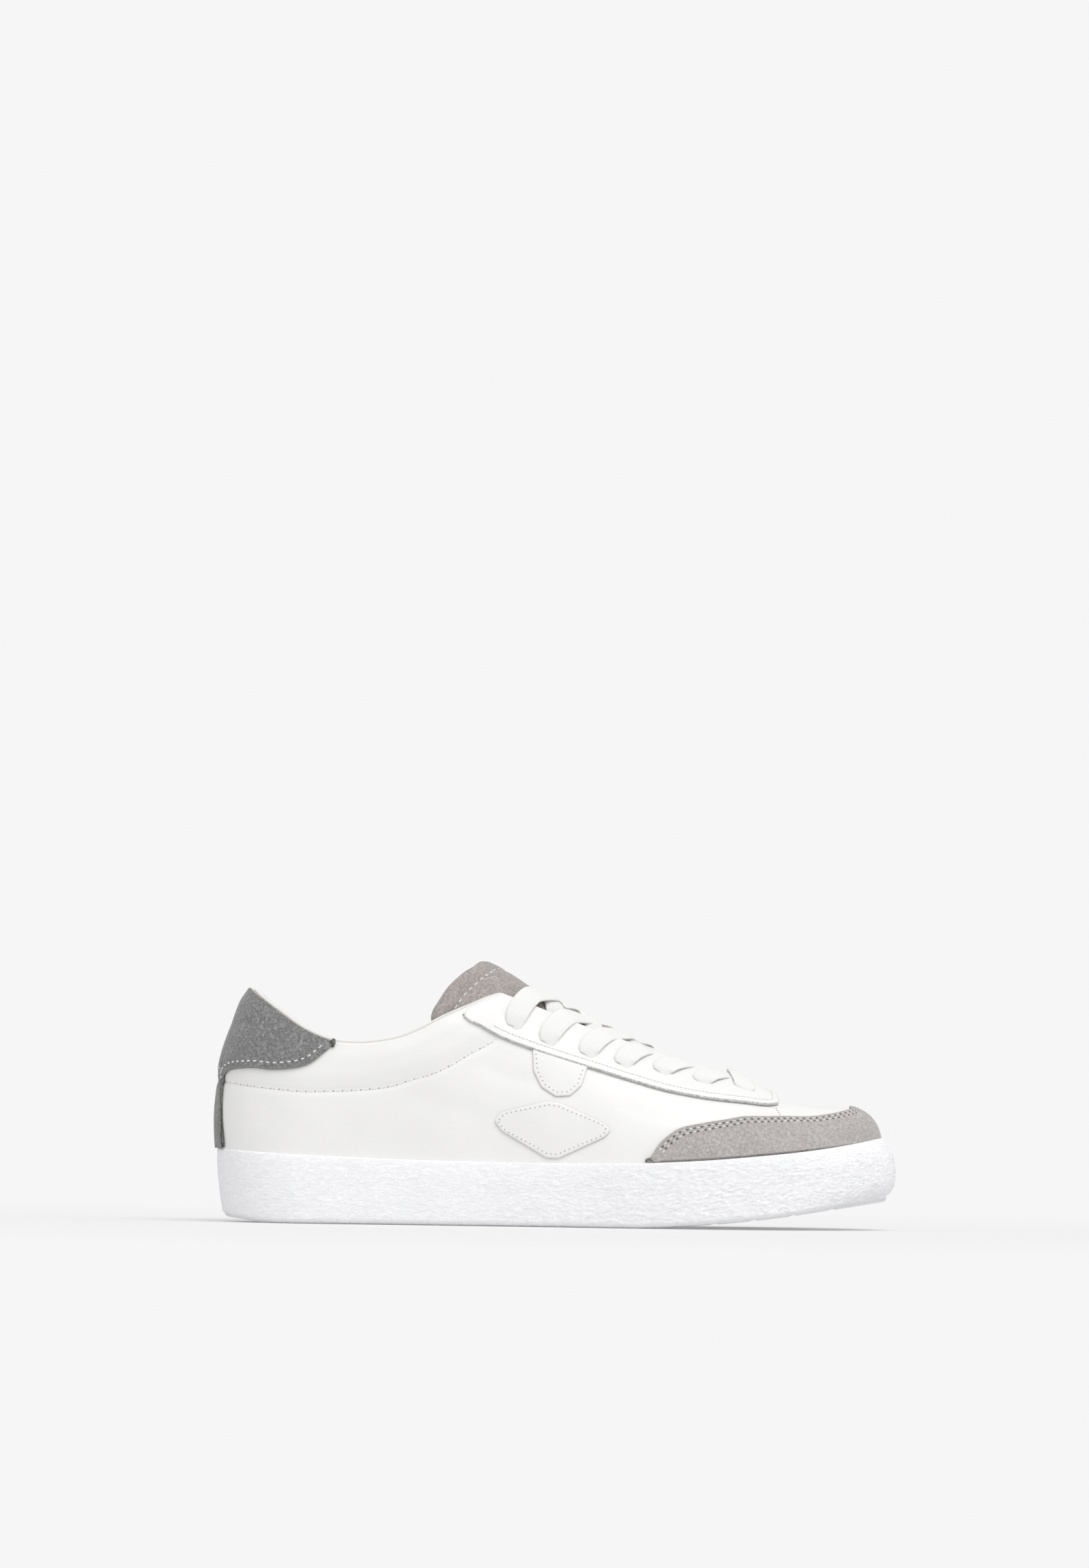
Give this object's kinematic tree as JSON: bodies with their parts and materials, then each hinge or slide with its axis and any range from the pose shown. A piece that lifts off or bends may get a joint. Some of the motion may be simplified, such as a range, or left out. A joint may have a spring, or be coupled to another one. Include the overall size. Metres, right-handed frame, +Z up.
{
  "type": "low sneaker",
  "caption": "Low court sneaker for the right foot: leather upper with suede toe guard, heel tab and tongue, flat laces and a rubber cup sole.",
  "frame": {"origin": "on the floor under the middle of the shoe's length and width", "axes": "+X from heel to toe, +Y to the inner side of the foot, +Z up"},
  "size_m": [0.2871, 0.0981, 0.1115],
  "materials": {
    "outsole_rubber": "matt white rubber with cross grooves",
    "sidewall_rubber": "matt white rubber with a crinkled side",
    "leather": "smooth white leather with a soft sheen",
    "guard_suede": "light warm grey suede",
    "tongue_suede": "warm grey suede",
    "heel_suede": "dark grey suede",
    "lining": "cream lining",
    "lace": "flat woven white cotton"
  },
  "bodies": {
    "root": {"outsole": "outsole_rubber", "cupsole": "sidewall_rubber", "insole": "lining", "upper": "leather", "tongue": "tongue_suede", "eyestay": "leather", "toe_guard": "guard_suede", "heel_tab": "heel_suede", "side_tab": "leather", "side_lozenge": "leather", "lace_crossing_1": "lace", "lace_crossing_2": "lace", "lace_crossing_3": "lace", "lace_crossing_4": "lace", "lace_crossing_5": "lace", "lace_crossing_6": "lace", "lace_bar": "lace"}
  },
  "joints": []
}
